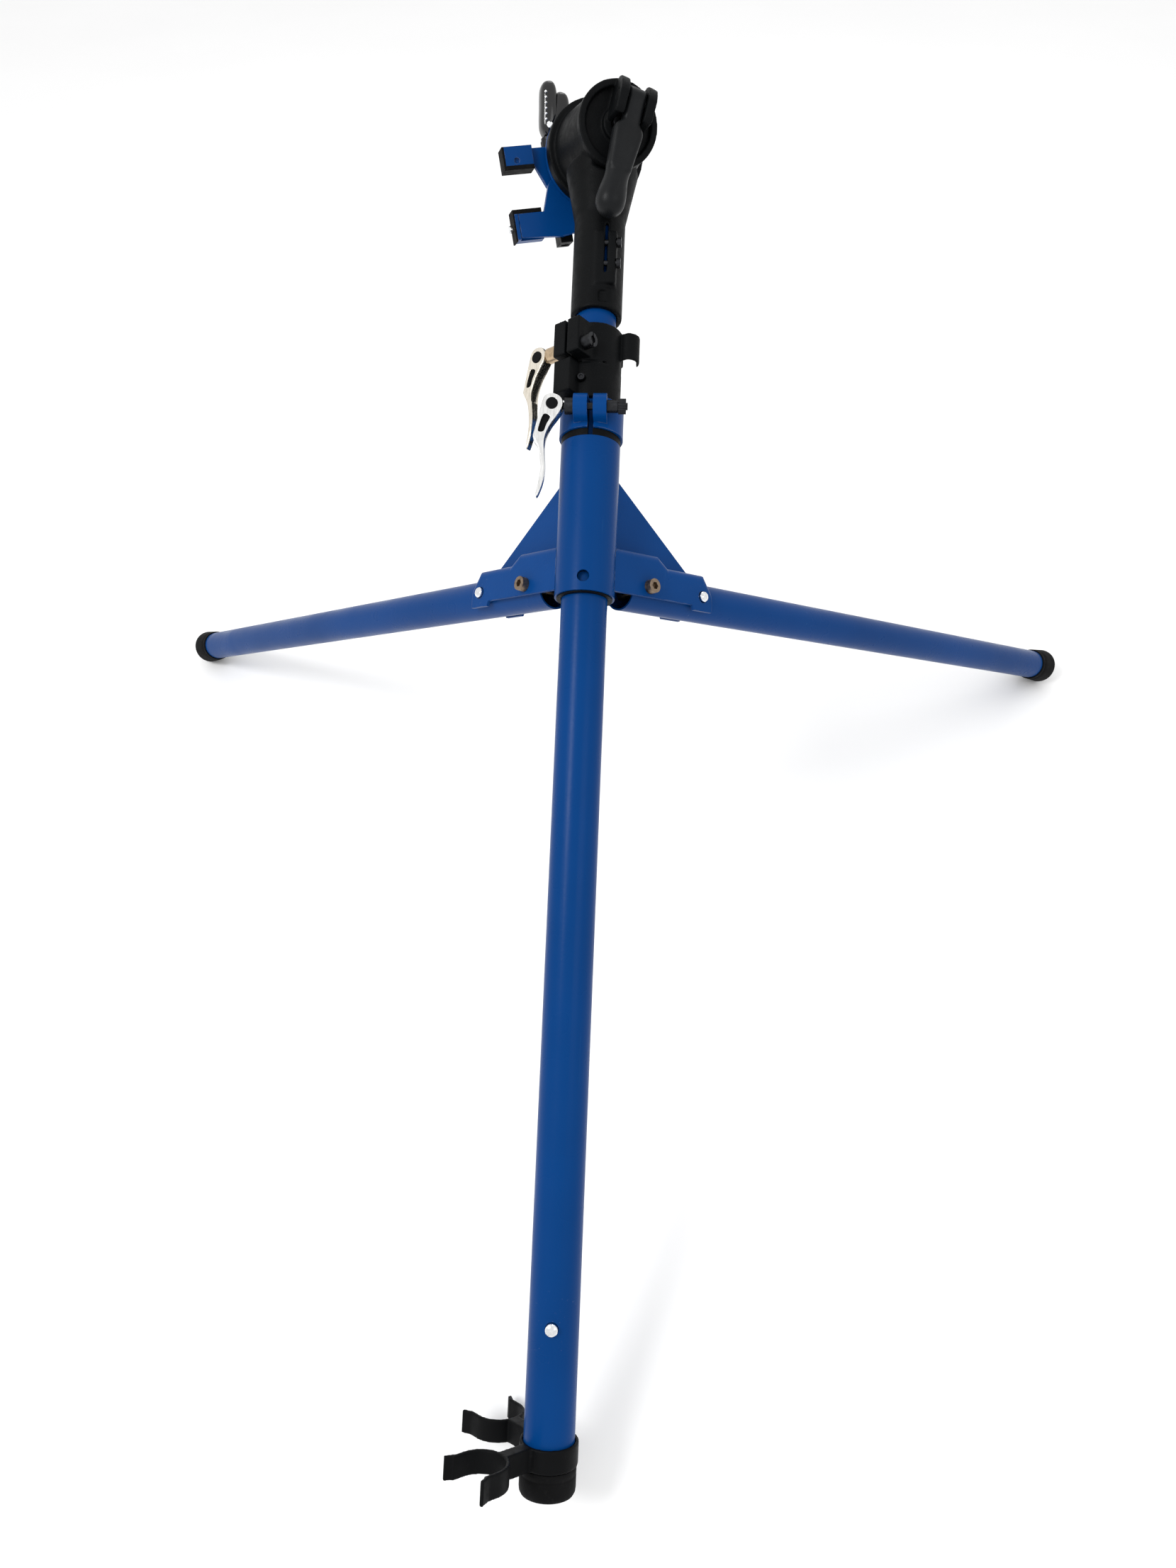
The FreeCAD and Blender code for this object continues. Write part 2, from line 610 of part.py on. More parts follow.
def head_lever():
    """Cam lever with a ball end; drawn about its pin, hanging along -Y, cam towards +Z."""
    width = D.fork_gap - 1.0
    turned = Placement(vec(-width / 2), Rotation(Y_AXIS, 90))
    cam = cylinder(9.4, width, turned)
    grip = plate([(-8.3, 4), (8.3, 4), (8.3, -19.5), (13.2, -25), (10.6, -66), (10.6, -80), (-10.6, -80),
                  (-10.6, -66), (-13.2, -25), (-8.3, -19.5)], 15)
    grip.Placement = at(0, 0, -9.5)
    ball = sphere(D.lever_ball, at(0, -D.lever_length, -2.5))
    bore = cylinder(3.6, 40, Placement(vec(-20), Rotation(Y_AXIS, 90)))
    lever = cut(fuse(cam, grip, ball), bore)
    node("head_cam_lever", lever, FORK * at(D.fork_side, D.fork_pin_up, -D.fork_pin_back))


# ---------------------------------------------------------------- tube clamp

def jaw_plates():
    thick = D.jaw_plate
    pivot = (D.jaw_pivot_out, D.jaw_pivot_up)
    lower = plate([(-16, -2), (0, 6), (26, 2), (46, -19), (54.5, -42.3), (D.jaw_tip - 4, -42.3),
                   (D.jaw_tip - 4, -63), (39, -65.3), (4, -60), (-14, -40)], thick,
                  [(pivot[0], pivot[1], 5.05)])
    node("lower_jaw_plate", lower, JAW * at(0, 0, 40))
    upper = plate([(-8, 12), (12, 14.2), (D.jaw_tip - 4, 14.2), (D.jaw_tip - 4, -0.8), (D.jaw_root - 2, -0.8),
                   (46, -20), (24, -36), (0, -38), (-10, -22)], thick, [(pivot[0], pivot[1], 5.3)])
    shelf = cut(box(14, 50, 10.6, 14.2, thick - 1, 22.5), box(23.5, 39.5, 5, 18, 6.2, 22.6))
    node("upper_jaw_plate", fuse(upper, shelf), JAW * at(0, 0, 46))


def jaw_box(low, high, hole_low):
    """Folded steel box on an arm's end, open towards the tube for its rubber pad."""
    shell = box(D.jaw_root, D.jaw_tip, low, high, D.jaw_back, D.jaw_back + D.jaw_width)
    return cut(shell, cylinder(2.6, 8, at(D.jaw_root + 16, hole_low, 34)))


def jaws():
    jaw_plates()
    rim = cut(cylinder(45.5, 3.4, at(0, 0, 36.2)), cylinder(38, 4, at(0, 0, 35.6)))
    hub = fuse(cylinder(45.5, 2.2, at(0, 0, 37.4)), rim)
    seat = cut(hub, cylinder(5.05, 20, at(D.jaw_pivot_out, D.jaw_pivot_up, 30)),
               cylinder(D.shaft_radius + 0.05, 20, at(0, 0, 30)))
    node("clamp_flange", seat, JAW)

    lower_room = box(40, D.jaw_tip - 3.5, -80, 30, 39.8, 45.2)
    plate_room = box(40, D.jaw_tip - 3.5, -80, 30, 45.8, 51.2)
    upper_box = cut(jaw_box(-0.9, 15.4, 3), plate_room)
    node("upper_jaw_box", upper_box, JAW)
    lower_box = cut(jaw_box(-64.8, -42.2, -50), lower_room)
    node("lower_jaw_box", lower_box, JAW)
    back, fore = D.jaw_back, D.jaw_back + D.jaw_width
    upper_pad = fuse(box(D.jaw_root, D.jaw_tip, -1 - D.pad_thick, -1, back, fore),
                     box(D.jaw_tip + 0.05, D.jaw_tip + 2, -1 - D.pad_thick, 15.4, back, fore),
                     box(D.jaw_tip - 2, D.jaw_tip + 1, -1 - D.pad_thick, -1.2, back, fore))
    node("upper_jaw_pad", upper_pad, JAW)
    lower_pad = fuse(box(D.jaw_root, D.jaw_tip, -42.1, -42.1 + D.pad_thick, back, fore),
                     box(D.jaw_tip + 0.05, D.jaw_tip + 1.5, -66, -42.1 + D.pad_thick, back, fore),
                     box(D.jaw_tip - 2, D.jaw_tip + 1, -42, -42.1 + D.pad_thick, back, fore))
    node("lower_jaw_pad", lower_pad, JAW)
    where = JAW * Placement(vec(D.jaw_tip + 1.6, -53.5, 48), Rotation(Y_AXIS, 90))
    node("lower_pad_screw", fuse(cylinder(2.6, 3.2), cylinder(3.4, 1.4, at(0, 0, 2.2))), where)

    pivot = fuse(cylinder(5.0, 17.5, at(0, 0, 37)), cylinder(8.0, 4.2, at(0, 0, 51.4)))
    node("jaw_pivot_bolt", pivot, JAW * at(D.jaw_pivot_out, D.jaw_pivot_up, 0))


def clamp_drive():
    """Draw rod behind the plates, its end block, the adjusting nut and the cam handle."""
    rod_line = JAW * Placement(vec(D.rod_out, 0, D.rod_fore), Rotation(X_AXIS, -90))
    rod = fuse(cylinder(D.rod_radius, 98, at(0, 0, -69)), cylinder(5.4, 8.0, at(0, 0, 29.0)),
               cylinder(7.6, 2.4, at(0, 0, 22.2)))
    rod = cut(rod, cylinder(3.05, 40, Placement(vec(0, -20, D.handle_pivot - 3.5), Rotation(X_AXIS, -90))))
    node("draw_rod", rod, rod_line)
    block = cut(box(-5.5, 6.5, -7.4, 11.8, -70, -54), cylinder(D.rod_radius + 0.05, 40, at(0, 0, -80)))
    node("rod_end_block", block, rod_line)
    nut = knurled_nut(8.5, D.rod_radius + 0.3, 7)
    node("jaw_adjusting_nut", nut, rod_line * at(0, 0, 14.9))

    pin_at = D.handle_pivot - 3.5
    cheek = []
    for side in (-1, 1):
        low, high = (5.8, 10.5) if side > 0 else (-10.5, -5.8)
        cheek.append(box(-20, 7, low, high, pin_at - 4, pin_at + 12))
        cheek.append(cylinder(7.4, high - low, Placement(vec(0, low, pin_at), Rotation(X_AXIS, -90))))
    grip = fuse(box(-24, -8, -10.5, 10.5, pin_at + 9, D.handle_top - 10),
                box(-10, 3, -10.5, 10.5, pin_at + 9, D.handle_top))
    bore = cylinder(3.1, 40, Placement(vec(0, -20, pin_at), Rotation(X_AXIS, -90)))
    node("clamp_cam_handle", cut(fuse(grip, *cheek), bore), rod_line)
    pin = cylinder(3.0, 20.6, Placement(vec(0, -10.3, pin_at), Rotation(X_AXIS, -90)))
    node("handle_pin", pin, rod_line)


def knurled_nut(radius, bore, tall):
    """Round nut with flutes cut round its edge."""
    flutes = []
    for index in range(16):
        spot = turned_by(Z_AXIS, index * 22.5) * at(radius + 0.25, 0, -1)
        flutes.append(cylinder(0.75, tall + 2, spot))
    return cut(cylinder(radius, tall), cylinder(bore, tall + 2, at(0, 0, -1)), *flutes)


# ---------------------------------------------------------------- hub

def hub_sleeve():
    sleeve = tube(D.sleeve_od / 2, D.sleeve_od / 2 - D.sleeve_wall, D.sleeve_base, D.sleeve_top)
    hole = cylinder(D.sleeve_hole, 20, turned_by(X_AXIS, 90, vec(0, -12, D.sleeve_hole_height)))
    node("hub_sleeve", cut(sleeve, hole))

    wall = D.sleeve_od / 2 - D.sleeve_wall - D.fit
    bore = D.main_od / 2 + D.running_gap
    top = fuse(cylinder(wall, D.hub_ring_base + D.hub_ring_tall - 1 - 790, at(0, 0, 790)),
               cylinder(D.sleeve_od / 2, D.hub_flange, at(0, 0, D.sleeve_top + 0.1)))
    top = cut(top, cylinder(bore, 120, at(0, 0, 780)),
              box(-1, 3, -40, 0, D.sleeve_top + 0.1, 900))
    bottom = fuse(cylinder(wall, 55, at(0, 0, D.sleeve_base)),
                  cylinder(D.sleeve_od / 2 - 1.8, 1.2, at(0, 0, D.sleeve_base - 1.2)))
    bottom = cut(bottom, cylinder(bore, 80, at(0, 0, 695)),
                 cylinder(D.sleeve_hole + 0.3, 20, turned_by(X_AXIS, 90, vec(0, -12, D.sleeve_hole_height))))
    node("hub_bushings", group(top, bottom))


def hub_clamp():
    low, high = D.hub_ring_base, D.hub_ring_base + D.hub_ring_tall
    across = Placement(vec(-D.hub_ear_half, -D.hub_bolt_reach, D.hub_bolt_height), Rotation(Y_AXIS, 90))
    body = fuse(cylinder(D.hub_ring_radius, D.hub_ring_tall, at(0, 0, low)),
                cylinder(D.hub_ear_radius, D.hub_ear_half * 2 + 1.5, across),
                box(-D.hub_ear_half, D.hub_ear_half + 1.5, -D.hub_bolt_reach, -15,
                    D.hub_bolt_height - D.hub_ear_radius, D.hub_bolt_height + D.hub_ear_radius))
    wall = D.sleeve_od / 2 - D.sleeve_wall
    bolt_way = cylinder(3.2, 60, Placement(vec(-30, -D.hub_bolt_reach, D.hub_bolt_height), Rotation(Y_AXIS, 90)))
    ring_part = cut(body, cylinder(wall, D.hub_ring_tall + 2, at(0, 0, low - 1)),
                    box(-D.hub_ear_gap / 2 + 1, D.hub_ear_gap / 2 + 1, -60, 0, low - 1, high + 1), bolt_way)
    node("hub_clamp_ring", ring_part)

    line = Placement(vec(0, -D.hub_bolt_reach, D.hub_bolt_height), Rotation(Y_AXIS, 90))
    reach = D.lever_reach
    bolt = cylinder(3.0, reach + 32.6, at(0, 0, -reach))
    node("hub_qr_bolt", bolt, line)
    spacer = cut(cylinder(7.0, reach - 10.6 - D.hub_ear_half - 0.1, at(0, 0, -reach + 10.6)),
                 cylinder(3.05, 40, at(0, 0, -40)))
    washer = cut(cylinder(5.4, 9.4, at(0, 0, 15.1)), cylinder(3.05, 40, at(0, 0, 0)))
    node("hub_qr_spacers", group(spacer, washer), line)
    node("hub_qr_nut", knurled_nut(6.4, 3.3, 6.4), line * at(0, 0, 24.8))
    across = Placement(vec(-reach, D.lever_thick / 2 + 0.7 - D.hub_bolt_reach, D.hub_bolt_height),
                       Rotation(X_AXIS, 90))
    barrel = cut(cylinder(5.0, D.lever_thick + 1.4, across), cylinder(3.05, 60, line * at(0, 0, -reach - 3)))
    node("hub_qr_barrel", barrel)
    centre = vec(-reach, -D.hub_bolt_reach + D.lever_thick / 2, D.hub_bolt_height)
    node("hub_qr_lever", qr_lever(5.0), axes(centre, X_AXIS, -Y_AXIS))


def bracket(side, name):
    """Inverted channel welded to the sleeve, drawn in the leg's frame."""
    frame = LEGS[name]
    inner = D.leg_od / 2 + D.bracket_gap
    outer = inner + D.bracket_wall
    wall = D.bracket_wall
    top = D.bracket_top
    end = D.bracket_end
    points = [(8, -D.bracket_drop), (end - 28, -D.bracket_drop), (end - 26, -D.tab_drop), (end - 2, -D.tab_drop),
              (end, 9), (end - 8, top), (84, top), (72, D.hump_top), (8, D.hump_top)]
    profile = plate(points, outer * 2)
    profile.Placement = Placement(vec(0, outer, 0), Rotation(X_AXIS, 90))
    hollow = plate([(-20, -60), (200, -60), (200, top - wall), (83, top - wall), (71, D.hump_top - wall),
                    (-20, D.hump_top - wall)], inner * 2)
    hollow.Placement = Placement(vec(0, inner, 0), Rotation(X_AXIS, 90))
    back = frame.inverse()
    sleeve = cylinder(D.sleeve_od / 2 + D.fit, 400, back * at(0, 0, 500))
    low, high = (-200, 0.1) if side > 0 else (-0.1, 200)
    half = box(low, high, -200, 200, 500, 900, back)
    pivot = cylinder(4.15, 80, Placement(vec(D.pivot_out, 40, D.pivot_up), Rotation(X_AXIS, 90)))
    button = cylinder(D.button_hole + 0.3, 40,
                      Placement(vec(D.leg_button_out, 0 if side > 0 else 40, 0), Rotation(X_AXIS, 90)))
    channel = cut(round_shoulders(profile), hollow, sleeve, half, pivot, button)
    node(name + "_bracket", channel, frame)

    web = plate([(12, D.hump_top + 0.05), (72.1, D.hump_top + 0.05), (84.1, top + 0.05), (129, top + 0.05),
                 (129, top + 3), (40, 101), (12, 101)], 4)
    web.Placement = Placement(vec(0, 2, 0), Rotation(X_AXIS, 90))
    node(name + "_gusset", cut(web, cylinder(D.sleeve_od / 2 + D.fit, 400, back * at(0, 0, 500))), frame)


def round_shoulders(profile):
    """Round the channel's two long upper corners, which are bent from sheet."""
    doc.recompute()
    reach = profile.Shape.BoundBox.YMax - 1e-3
    fillet = doc.addObject("Part::Fillet", "Bends")
    fillet.Base = profile
    chosen = []
    for number, edge in enumerate(profile.Shape.Edges, 1):
        box_of = edge.BoundBox
        beside = abs(box_of.YMin) > reach and box_of.YLength < 1e-3
        if beside and box_of.XLength > 5 and box_of.ZMin > 5:
            chosen.append((number, 7.0, 7.0))
    fillet.Edges = chosen
    doc.recompute()
    return fillet


def pivot_bolts():
    bolts, nuts = [], []
    face = D.leg_od / 2 + D.bracket_gap + D.bracket_wall
    for side, name in ((-1, "left"), (1, "right")):
        towards = Y_AXIS if side < 0 else -Y_AXIS
        frame = LEGS[name]
        head = frame * axes(vec(D.pivot_out, face * -side, D.pivot_up), X_AXIS, towards)
        bolt = socket_bolt(4.0, face * 2 + 8, 6.3, 7.0, 3.5)
        bolt.Placement = head
        bolts.append(bolt)
        nut = cut(hexagon(7.2, 6.5, at(0, 0, -face * 2 - 6.6)), cylinder(4.05, 20, at(0, 0, -face * 2 - 16)))
        nut.Placement = head
        nuts.append(nut)
    node("leg_pivot_bolts", group(*bolts))
    node("leg_pivot_nuts", group(*nuts))


# ---------------------------------------------------------------- legs

def leg(side, name):
    frame = LEGS[name]
    along = Rotation(Y_AXIS, 90)
    pivot = D.pivot_out
    start = pivot - 16
    radius = D.leg_od / 2
    barrel = cylinder(radius, D.leg_length - 3.5 - start, Placement(vec(start), along))
    hollow = cylinder(radius - D.leg_wall, D.leg_length, Placement(vec(start - 2), along))
    bolt_way = cylinder(4.3, 80, Placement(vec(pivot, 40, D.pivot_up), Rotation(X_AXIS, 90)))
    button_way = cylinder(D.button_hole, 40,
                          Placement(vec(D.leg_button_out, 0 if side > 0 else 40, 0), Rotation(X_AXIS, 90)))
    node(name + "_leg_tube", cut(barrel, hollow, bolt_way, button_way), frame)

    length, bore = D.leg_cap_length, radius + D.fit
    cap = lathe([(0, 0), (D.leg_cap_radius, 0), (radius + 1.7, length), (bore, length), (bore, 3.5), (0, 3.5)])
    soften(cap, D.foot_round, lambda edge: is_circle(edge, D.leg_cap_radius, 0))
    node(name + "_leg_cap", cap, frame * Placement(vec(D.leg_length), Rotation(Y_AXIS, -90)))

    face = 1 if side < 0 else -1
    facing = axes(vec(D.leg_button_out), X_AXIS, Y_AXIS * face)
    proud = radius + D.bracket_gap + D.bracket_wall + 3.4
    node(name + "_snap_button", snap_button(proud), frame * facing)
    spring = leaf_spring(12.4, 34)
    node(name + "_button_spring", spring, frame * axes(vec(D.leg_button_out), -Y_AXIS * face, X_AXIS))


# ---------------------------------------------------------------- the stand

def build():
    lower_mast()
    foot_clip()
    bolt_line, ear = collar()
    collar_lever(bolt_line, ear)
    upper_mast()
    head_casting()
    rear_fork()
    head_lever()
    jaws()
    clamp_drive()
    hub_sleeve()
    hub_clamp()
    for side, name in ((-1, "left"), (1, "right")):
        bracket(side, name)
        leg(side, name)
    pivot_bolts()


def seat_on_floor():
    """Move the stand so that the centre of its footprint is the origin and it stands on Z = 0."""
    bounds = FreeCAD.BoundBox()
    for item in NODES:
        bounds.add(item.Shape.optimalBoundingBox(False, False))
    shift = Placement(Vector(-bounds.Center.x, -bounds.Center.y, -bounds.ZMin), Rotation())
    for item in NODES:
        item.Placement = shift * item.Placement
    doc.recompute()
    return shift


def check():
    failed = [item.Label for item in doc.Objects if "Invalid" in item.State or "Error" in item.State]
    if failed:
        raise RuntimeError("failed objects: " + ", ".join(failed))
    for item in NODES:
        if item.Shape.isNull() or not item.Shape.isValid() or item.Shape.Volume <= 0:
            raise RuntimeError("bad shape: " + item.Label)


build()
doc.recompute()
check()
SEAT = seat_on_floor()
check()
os.makedirs("parts", exist_ok=True)
for item in NODES:
    item.Shape.exportStep(os.path.join("parts", item.Label + ".step"))
print("nodes %d, lean %.3f degrees, seat %s" % (len(NODES), LEAN, SEAT.Base))
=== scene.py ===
"""Folding bicycle repair stand: materials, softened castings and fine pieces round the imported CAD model."""
import json
import math

import bmesh
import bpy
from mathutils import Euler, Matrix, Vector


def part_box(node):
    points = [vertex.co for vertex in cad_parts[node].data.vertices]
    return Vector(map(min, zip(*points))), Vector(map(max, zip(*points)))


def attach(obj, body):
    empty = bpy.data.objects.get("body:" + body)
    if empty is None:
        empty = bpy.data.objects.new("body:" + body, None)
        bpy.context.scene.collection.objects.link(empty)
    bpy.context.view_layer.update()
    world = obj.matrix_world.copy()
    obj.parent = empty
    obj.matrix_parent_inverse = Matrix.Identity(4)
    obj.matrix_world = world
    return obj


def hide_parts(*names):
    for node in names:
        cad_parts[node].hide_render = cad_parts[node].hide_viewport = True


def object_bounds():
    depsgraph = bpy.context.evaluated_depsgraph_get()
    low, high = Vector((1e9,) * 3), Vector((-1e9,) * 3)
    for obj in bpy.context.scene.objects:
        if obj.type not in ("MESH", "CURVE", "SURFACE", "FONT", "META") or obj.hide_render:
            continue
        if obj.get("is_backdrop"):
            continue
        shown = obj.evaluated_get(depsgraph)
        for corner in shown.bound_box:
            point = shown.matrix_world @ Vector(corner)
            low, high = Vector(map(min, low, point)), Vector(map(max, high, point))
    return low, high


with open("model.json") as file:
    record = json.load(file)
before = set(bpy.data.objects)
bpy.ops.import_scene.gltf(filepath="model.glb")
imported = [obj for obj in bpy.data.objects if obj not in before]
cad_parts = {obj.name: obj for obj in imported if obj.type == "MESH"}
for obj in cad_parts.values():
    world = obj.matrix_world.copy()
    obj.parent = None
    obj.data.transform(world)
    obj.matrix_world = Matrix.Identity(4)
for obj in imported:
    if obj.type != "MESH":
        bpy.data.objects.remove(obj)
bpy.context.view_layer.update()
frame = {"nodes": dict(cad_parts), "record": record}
RECORD = frame["record"]
MM = 0.001
LEG_LENGTH = 832                # mast axis to the sole of a leg cap, along the leg, in millimetres
BUTTONS = ("mast_snap_button", "left_snap_button", "right_snap_button")


# ------------------------------------------------------------ frames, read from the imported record

def joint(name):
    return next(item for item in RECORD["behaviour"]["joints"] if item["name"] == name)


def mount(name):
    return next(item for item in RECORD["mounts"] if item["name"] == name)


def basis(origin, x_dir, y_dir, z_dir):
    """Matrix that takes millimetres in a local frame to metres in the stand's frame."""
    matrix = Matrix((x_dir * MM, y_dir * MM, z_dir * MM)).transposed().to_4x4()
    matrix.translation = origin
    return matrix


def direction(name):
    return Vector(joint(name)["axis"]).normalized()


def mast_frame():
    up, across = direction("hub_slide"), direction("hub_nut_turn")
    return basis(Vector(mount("foot_face")["pos_m"]), across, up.cross(across), up)


def clamp_frames():
    """The rear fork's frame (Z along the shaft, X along its pin) and the jaws' own frame, on one axis."""
    origin = Vector(joint("clamp_turn")["pos_m"])
    along, level = direction("clamp_turn"), direction("cam_lever_open")
    raised = direction("jaw_nut_turn")
    return (basis(origin, level, along.cross(level), along),
            basis(origin, raised.cross(along), raised, along))


def leg_frame(side):
    """X out along the leg, Z up and square to it; the origin is where the leg meets the mast axis."""
    out, swing = Vector(mount(side + "_leg_cap_face")["axis"]), direction(side + "_leg_fold")
    end = Vector(mount(side + "_leg_cap_face")["pos_m"])
    return basis(end - out * LEG_LENGTH * MM, out, swing, out.cross(swing))


MAST = mast_frame()
FORK, JAW = clamp_frames()
LEGS = {side: leg_frame(side) for side in ("left", "right")}


# ------------------------------------------------------------ materials

class Shader:
    """Small helper round one node tree."""

    def __init__(self, name):
        self.material = bpy.data.materials.new(name)
        self.material.use_nodes = True
        self.tree = self.material.node_tree
        self.surface = self.tree.nodes["Principled BSDF"]
        self.place = self.add("ShaderNodeTexCoord").outputs["Object"]

    def add(self, kind, **settings):
        item = self.tree.nodes.new(kind)
        for key, value in settings.items():
            setattr(item, key, value)
        return item

    def link(self, source, target):
        if isinstance(source, (int, float, tuple)):
            target.default_value = source
        else:
            self.tree.links.new(source, target)

    def noise(self, scale, detail=3.0, rough=0.55, stretch=None):
        item = self.add("ShaderNodeTexNoise")
        item.inputs["Scale"].default_value = scale
        item.inputs["Detail"].default_value = detail
        item.inputs["Roughness"].default_value = rough
        self.link(self.stretched(stretch) if stretch else self.place, item.inputs["Vector"])
        return item.outputs["Fac"]

    def stretched(self, stretch):
        """Coordinates scaled along the mast's own axes."""
        turn = self.add("ShaderNodeMapping", vector_type="TEXTURE")
        turn.inputs["Rotation"].default_value = MAST.to_3x3().normalized().to_euler()
        self.link(self.place, turn.inputs["Vector"])
        scale = self.add("ShaderNodeVectorMath", operation="MULTIPLY")
        self.link(turn.outputs["Vector"], scale.inputs[0])
        scale.inputs[1].default_value = stretch
        return scale.outputs["Vector"]

    def ramp(self, value, low, high, to_low=0.0, to_high=1.0):
        item = self.add("ShaderNodeMapRange")
        self.link(value, item.inputs["Value"])
        for name, number in (("From Min", low), ("From Max", high), ("To Min", to_low), ("To Max", to_high)):
            item.inputs[name].default_value = number
        return item.outputs["Result"]

    def maths(self, kind, first, second):
        item = self.add("ShaderNodeMath", operation=kind, use_clamp=True)
        self.link(first, item.inputs[0])
        self.link(second, item.inputs[1])
        return item.outputs[0]

    def mix(self, factor, first, second):
        item = self.add("ShaderNodeMix", data_type="RGBA")
        self.link(factor, item.inputs["Factor"])
        self.link(first, item.inputs[6])
        self.link(second, item.inputs[7])
        return item.outputs[2]

    def edges(self, radius):
        """High on sharp outer edges; the callers break it up with noise."""
        bevel = self.add("ShaderNodeBevel", samples=4)
        bevel.inputs["Radius"].default_value = radius
        geometry = self.add("ShaderNodeNewGeometry")
        dot = self.add("ShaderNodeVectorMath", operation="DOT_PRODUCT")
        self.link(bevel.outputs["Normal"], dot.inputs[0])
        self.link(geometry.outputs["Normal"], dot.inputs[1])
        return self.ramp(dot.outputs["Value"], 0.97, 0.80)

    def spots(self, points, radius):
        """Patches round given points."""
        total = None
        for point in points:
            gap = self.add("ShaderNodeVectorMath", operation="DISTANCE")
            self.link(self.place, gap.inputs[0])
            gap.inputs[1].default_value = point
            patch = self.ramp(gap.outputs["Value"], radius, radius * 0.25)
            total = patch if total is None else self.maths("MAXIMUM", total, patch)
        return total

    def relief(self, height, distance, strength=1.0, rounding=None):
        bump = self.add("ShaderNodeBump")
        bump.inputs["Distance"].default_value = distance
        bump.inputs["Strength"].default_value = strength
        self.link(height, bump.inputs["Height"])
        if rounding:
            bevel = self.add("ShaderNodeBevel", samples=4)
            bevel.inputs["Radius"].default_value = rounding
            self.link(bevel.outputs["Normal"], bump.inputs["Normal"])
        self.link(bump.outputs["Normal"], self.surface.inputs["Normal"])

    def finish(self, colour, rough, metal=0.0, level=0.5):
        self.link(colour, self.surface.inputs["Base Color"])
        self.link(rough, self.surface.inputs["Roughness"])
        self.link(metal, self.surface.inputs["Metallic"])
        self.surface.inputs["Specular IOR Level"].default_value = level
        return self.material


PAINT_LEVEL = 0.07              # specular level of the blue coat


def rgb(red, green, blue):
    return (red, green, blue, 1.0)


def shade(colour, factor):
    return rgb(*(min(1.0, part * factor) for part in colour[:3]))


def centre_of(node):
    low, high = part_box(node)
    return tuple((Vector(low) + Vector(high)) / 2)


def streaked(s, tone, stretch, fades, mask_scale, mask, strength):
    """Faint pale rub marks along the mast, only here and there."""
    streak = s.ramp(s.noise(1.0, 4.0, 0.6, stretch), *fades)
    streak = s.maths("MULTIPLY", streak, s.ramp(s.noise(mask_scale), *mask))
    return s.mix(s.maths("MULTIPLY", streak, strength), tone, rgb(0.03, 0.12, 0.30))


def chipped(s, reach):
    """Small chips in the paint round the snap buttons."""
    handled = s.spots([centre_of(name) for name in BUTTONS], reach)
    chips = s.maths("MULTIPLY", s.ramp(s.noise(420.0, 5.0, 0.7), 0.66, 0.70), handled)
    return s.maths("MULTIPLY", chips, 0.35)


def blue_paint():
    """Glossy powder coat with orange peel, faint streaks, scuffs round the buttons and chipped edges."""
    s = Shader("blue_paint")
    base = rgb(0.0003, 0.038, 0.164)
    tone = s.mix(s.ramp(s.noise(9.0), 0.3, 0.7), shade(base, 0.88), shade(base, 1.14))
    tone = streaked(s, tone, (420.0, 420.0, 9.0), (0.66, 0.74), 14.0, (0.52, 0.66), 0.30)
    edge = s.maths("MULTIPLY", s.edges(0.0009), s.ramp(s.noise(70.0, 4.0, 0.65), 0.50, 0.62))
    bare = s.maths("MAXIMUM", chipped(s, 0.034), s.maths("MULTIPLY", edge, 0.3))
    tone = s.mix(bare, tone, rgb(0.42, 0.44, 0.46))
    rough = s.ramp(s.noise(30.0), 0.3, 0.7, 0.26, 0.38)
    s.relief(s.noise(420.0, 2.0), 0.00022, 0.35, 0.0008)
    return s.finish(tone, rough, s.maths("MULTIPLY", bare, 0.8), PAINT_LEVEL)


def tube_paint():
    """The same coat on the long tubes, without the edge wear."""
    s = Shader("tube_paint")
    base = rgb(0.0003, 0.037, 0.160)
    tone = s.mix(s.ramp(s.noise(5.0), 0.3, 0.7), shade(base, 0.9), shade(base, 1.12))
    tone = streaked(s, tone, (380.0, 380.0, 7.0), (0.66, 0.75), 11.0, (0.5, 0.64), 0.26)
    chips = chipped(s, 0.030)
    tone = s.mix(chips, tone, rgb(0.46, 0.48, 0.50))
    rough = s.ramp(s.noise(24.0), 0.3, 0.7, 0.24, 0.36)
    s.relief(s.noise(380.0, 2.0), 0.00022, 0.3)
    return s.finish(tone, rough, s.maths("MULTIPLY", chips, 0.8), PAINT_LEVEL)


def black_casting():
    """Die casting under a thin satin coat: sandy skin, soft edges rubbed lighter."""
    s = Shader("black_casting")
    base = rgb(0.0026, 0.0030, 0.0034)
    tone = s.mix(s.ramp(s.noise(22.0), 0.3, 0.7), shade(base, 0.82), shade(base, 1.25))
    rub = s.maths("MULTIPLY", s.edges(0.0014), s.ramp(s.noise(90.0, 4.0), 0.42, 0.62))
    tone = s.mix(s.maths("MULTIPLY", rub, 0.3), tone, rgb(0.022, 0.024, 0.026))
    speck = s.ramp(s.noise(900.0, 2.0), 0.62, 0.70)
    tone = s.mix(s.maths("MULTIPLY", speck, 0.2), tone, rgb(0.014, 0.015, 0.017))
    rough = s.ramp(s.noise(160.0), 0.3, 0.7, 0.40, 0.56)
    s.relief(s.noise(750.0, 3.0, 0.6), 0.0004, 0.45, 0.0012)
    return s.finish(tone, rough, level=0.06)


